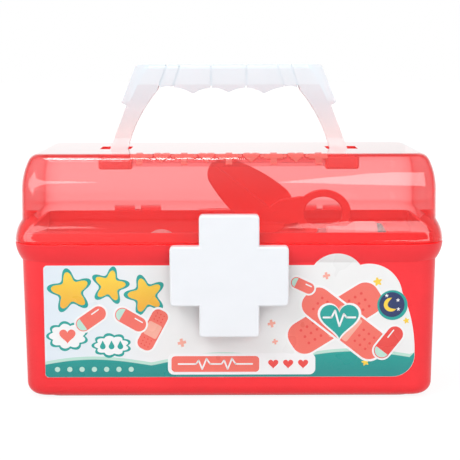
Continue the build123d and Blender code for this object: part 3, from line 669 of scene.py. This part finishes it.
LID_TOP = 140.0
SHOULDER_DROP = 21.0
SIDE_R, TOP_R = 38.3, 7.0
RIM_HALF_Y = 66.0
WALL_INSET = 4.1                # lid wall behind the rim, at the foot of the shoulder
SHOULDER_RUN = SIDE_R - math.sqrt((SIDE_R - TOP_R) ** 2 - (SHOULDER_DROP - TOP_R) ** 2)
SHOULDER_TURN = math.atan2(SHOULDER_DROP - TOP_R, SIDE_R - SHOULDER_RUN)
TOP_ARC = TOP_R * (math.pi / 2 - SHOULDER_TURN)
RELIEF_SUNK, RELIEF_HIGH = 0.5, 0.7
BEND_STEP = 0.6                 # the row is cut this often, so that it follows the round


def shoulder_place(x, s, height):
    """Point over the front shoulder; s runs down from where the flat top ends."""
    if s <= 0:
        inset, z, tilt = WALL_INSET + SHOULDER_RUN - s, LID_TOP, math.pi / 2
    elif s < TOP_ARC:
        tilt = math.pi / 2 - s / TOP_R
        inset = WALL_INSET + SHOULDER_RUN - TOP_R * math.cos(tilt)
        z = LID_TOP - TOP_R + TOP_R * math.sin(tilt)
    else:
        tilt = SHOULDER_TURN - (s - TOP_ARC) / SIDE_R
        inset = WALL_INSET + SIDE_R * (1 - math.cos(tilt))
        z = LID_TOP - SHOULDER_DROP + SIDE_R * math.sin(tilt)
    y = -RIM_HALF_Y + inset
    return x, y - height * math.cos(tilt), z + height * math.sin(tilt)


def lid_relief():
    """Row of raised pluses, hearts and dots across the front shoulder of the lid."""
    row = Plates()
    centre_s, reach, pitch, count = 4.6, 5.2, 12.6, 9

    def raise_up(outline):
        row.add(outline, -RELIEF_SUNK, RELIEF_HIGH, relief_red)

    for i in range(count):
        x = (i - (count - 1) / 2) * pitch
        if i % 2 == 0:
            raise_up(plus(x, centre_s, reach, reach * 0.36))
        else:
            raise_up([(u, 2 * centre_s - v) for u, v in heart(x, centre_s + 0.4, reach * 0.92)])
        if i < count - 1:
            raise_up(disc(x + pitch / 2, centre_s, 1.2, 20))
    row.cut_across(BEND_STEP, centre_s - reach, centre_s + reach)
    return row.finish("lid_relief", shoulder_place)


relief_red = clear_moulding("relief_red", RELIEF_COVER, RELIEF_HAZE)
relief = lid_relief()
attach(relief, "lid")


SHARP_ANGLE = 28.0


def soften(node, width):
    """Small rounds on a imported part's sharp moulded edges."""
    bevel = NODES[node].modifiers.new("moulded_edges", "BEVEL")
    bevel.width = width
    bevel.segments = 2
    bevel.limit_method = "ANGLE"
    bevel.angle_limit = math.radians(SHARP_ANGLE)
    bevel.harden_normals = True


soften("carry_handle", 0.0007)


# ---------------------------------------------------------------------------
# Floor, backdrop, cards, lamps and camera
# ---------------------------------------------------------------------------

FLOOR_SIZE = 16.0
FLOOR_NEAR, FLOOR_FAR = 0.35, 0.95      # beyond this the floor is as white as the backdrop
FLOOR_GLOW = 0.90, 1.0                  # its own light at those two distances
FLOOR_IN_FRONT = 0.50                   # the dim floor in front of the case, as gloss shows it
FLOOR_SHADED, FLOOR_PLAIN = 0.16, 0.80  # how pale it is under the shadow, and as it lights the case
FRONT_TO_BACK = -0.3, 0.3               # where gloss goes over from the dim front to the bright ground

PLAIN_LEVEL = 0.52              # the room as soft light
ROOM_IN_FRONT = 0.60, 0.90      # the dim room in front of the case, as gloss shows it, level and high up
ROOM_HIGH = 0.6
ROOM_TO_LEFT = 0.35             # and the difference that its left side makes
LEFT_TO_RIGHT = -0.15, 0.15
ROOM_BEHIND = 1.0, 0.93         # the bright ground behind the case, in the middle and to the right
MIDDLE_TO_RIGHT = 0.02, 0.14


def rays_and_view(tree):
    """The kinds of ray, and 1 where the camera looks, straight or through clear plastic."""
    rays = tree.node("ShaderNodeLightPath").outputs
    return rays, tree.math("MAXIMUM", rays["Is Camera Ray"], rays["Is Transmission Ray"])


def floor():
    """Pale floor that keeps a faint shadow round the case and fades into the backdrop."""
    bpy.ops.mesh.primitive_plane_add(size=FLOOR_SIZE, location=(0, 0, 0))
    plane = bpy.context.object
    plane.name = "floor"
    tree = Tree("floor")
    rays, seen = rays_and_view(tree)
    away = tree.node("ShaderNodeVectorMath", operation="LENGTH")
    tree.link(tree.place(), away.inputs[0])
    bright = tree.node("ShaderNodeAddShader")
    tree.link(tree.matt(FLOOR_SHADED).outputs[0], bright.inputs[0])
    glow = tree.glow(tree.spread(away.outputs["Value"], FLOOR_NEAR, FLOOR_FAR, *FLOOR_GLOW))
    tree.link(glow.outputs[0], bright.inputs[1])
    in_gloss = tree.glow(tree.spread(tree.axes()["Y"], *FRONT_TO_BACK, FLOOR_IN_FRONT, 1.0))
    bounced = tree.mix_shaders(rays["Is Glossy Ray"], tree.matt(FLOOR_PLAIN), in_gloss)
    plane.data.materials.append(tree.finish(tree.mix_shaders(seen, bounced, bright)))


def backdrop():
    """White for the camera and through clear plastic, white behind the case for gloss, plain as light."""
    world = bpy.data.worlds.new("studio")
    bpy.context.scene.world = world
    tree = Tree("studio", world)
    rays, seen = rays_and_view(tree)
    level = tree.spread(seen, 0.0, 1.0, PLAIN_LEVEL, 1.0)
    towards = tree.node("ShaderNodeSeparateXYZ")
    tree.link(tree.node("ShaderNodeTexCoord").outputs["Generated"], towards.inputs[0])
    x, y, z = towards.outputs
    front = tree.math("ADD", tree.spread(z, 0.0, ROOM_HIGH, *ROOM_IN_FRONT),
                      tree.spread(x, *LEFT_TO_RIGHT, ROOM_TO_LEFT, -ROOM_TO_LEFT))
    behind = tree.spread(x, *MIDDLE_TO_RIGHT, *ROOM_BEHIND)
    in_gloss = tree.math("SUBTRACT", tree.spread(y, *FRONT_TO_BACK, front, behind), PLAIN_LEVEL)
    background = tree.node("ShaderNodeBackground")
    background.inputs["Color"].default_value = (1.0, 1.0, 1.0, 1.0)
    strength = tree.math("MULTIPLY_ADD", rays["Is Glossy Ray"], in_gloss, level)
    tree.link(strength, background.inputs["Strength"])
    tree.finish(background)


CARD_CENTRE = Vector((0.0, -0.06, 0.12))
CARD_REACH = 1.5
CARD_STEP = 6.0                         # degrees of azimuth that one flat piece of a card spans
SCREEN_HALF = 0.1130, 0.0565
SCREEN_HEIGHTS = 0.1412, 1.6            # it starts just over the lid and goes out of sight


def card(name, outline, strength):
    """White curved card that only gloss sees.

    The outline gives azimuth, lowest and highest elevation as seen from the lid, in degrees.
    """
    rows = []
    for start, end in zip(outline, outline[1:]):
        count = math.ceil((end[0] - start[0]) / CARD_STEP)
        rows += [[a + (b - a) * i / count for a, b in zip(start, end)] for i in range(count)]
    rows.append(outline[-1])
    points = []
    for azimuth, *elevations in rows:
        a = math.radians(azimuth)
        for e in map(math.radians, elevations):
            points.append(CARD_CENTRE + CARD_REACH * Vector((math.sin(a) * math.cos(e),
                                                             -math.cos(a) * math.cos(e), math.sin(e))))
    glowing_strip(name, points, strength)


def screen():
    """White screen round the front and ends of the lid's flat top, which keeps the cards off it."""
    x, y = SCREEN_HALF
    corners = (-x, y), (-x, -y), (x, -y), (x, y)
    glowing_strip("screen", [Vector((*corner, z)) for corner in corners for z in SCREEN_HEIGHTS], 1.0)


def glowing_strip(name, points, strength):
    """Strip of quads between pairs of points; only gloss sees it."""
    faces = [(i, i + 2, i + 3, i + 1) for i in range(0, len(points) - 2, 2)]
    data = bpy.data.meshes.new(name)
    data.from_pydata(points, [], faces)
    tree = Tree(name)
    data.materials.append(tree.finish(tree.glow(strength)))
    thing = put_in_scene(name, data)
    thing.visible_camera = False
    thing.visible_diffuse = False
    thing.visible_transmission = False
    thing.visible_shadow = False


def lamp(name, place, aim, size, power):
    """Soft square lamp; the cards stand for it in gloss."""
    data = bpy.data.lights.new(name, "AREA")
    data.energy = power
    data.size = size
    thing = put_in_scene(name, data)
    thing.location = place
    thing.rotation_euler = (Vector(aim) - Vector(place)).to_track_quat("-Z", "Y").to_euler()
    thing.visible_glossy = False


CAMERA_PLACE = (-0.001, -0.880, 0.1981)
CAMERA_YAW, CAMERA_PITCH, CAMERA_ROLL = -0.106, 7.0, -0.12      # degrees; the pitch looks down
FOCAL_PIXELS, FRAME_PIXELS = 1464.0, 460.0
SENSOR = 36.0


def camera():
    data = bpy.data.cameras.new("camera")
    data.sensor_width = SENSOR
    data.sensor_fit = "HORIZONTAL"
    data.lens = FOCAL_PIXELS / FRAME_PIXELS * SENSOR
    data.clip_end = 50.0
    thing = put_in_scene("camera", data)
    turn = (Matrix.Rotation(math.radians(CAMERA_YAW), 4, "Z")
            @ Matrix.Rotation(math.radians(90.0 - CAMERA_PITCH), 4, "X")
            @ Matrix.Rotation(math.radians(CAMERA_ROLL), 4, "Z"))
    thing.matrix_world = Matrix.Translation(CAMERA_PLACE) @ turn
    bpy.context.scene.camera = thing


floor()
backdrop()
AIM = (0.0, 0.0, 0.08)
lamp("key", (-0.9, -1.1, 1.3), AIM, 0.9, 11.0)
lamp("fill", (1.2, -1.0, 0.8), AIM, 0.8, 4.4)
lamp("top", (0.0, 0.3, 1.6), AIM, 1.2, 5.0)
lamp("front", (0.1, -1.7, 0.5), AIM, 1.2, 5.0)
lamp("back", (0.0, 1.7, 0.6), AIM, 1.2, 4.5)
screen()
card("overhead_strip", [(-95, 65.0, 79.0), (-2.0, 65.0, 79.0), (5.0, 71.8, 72.2)], 18.0)
card("right_wedge", [(3.1, 10.8, 11.0), (5.9, 9.6, 18.8), (7.7, 7.4, 22.6), (9.5, 6.0, 26.4),
                     (11.2, 5.2, 28.0), (30.0, 4.4, 26.0), (60.0, 2.0, 22.0), (74.0, -0.5, 19.5)], 5.0)
card("left_spear", [(-96.0, 1.0, 5.0), (-84.0, -2.0, 14.0), (-72.0, -5.3, 23.0), (-62.0, 1.0, 15.0),
                    (-36.0, 6.0, 14.0), (-10.0, 10.1, 14.2), (-7.8, 12.0, 12.2)], 5.0)
camera()

bpy.context.scene.view_settings.view_transform = "Standard"
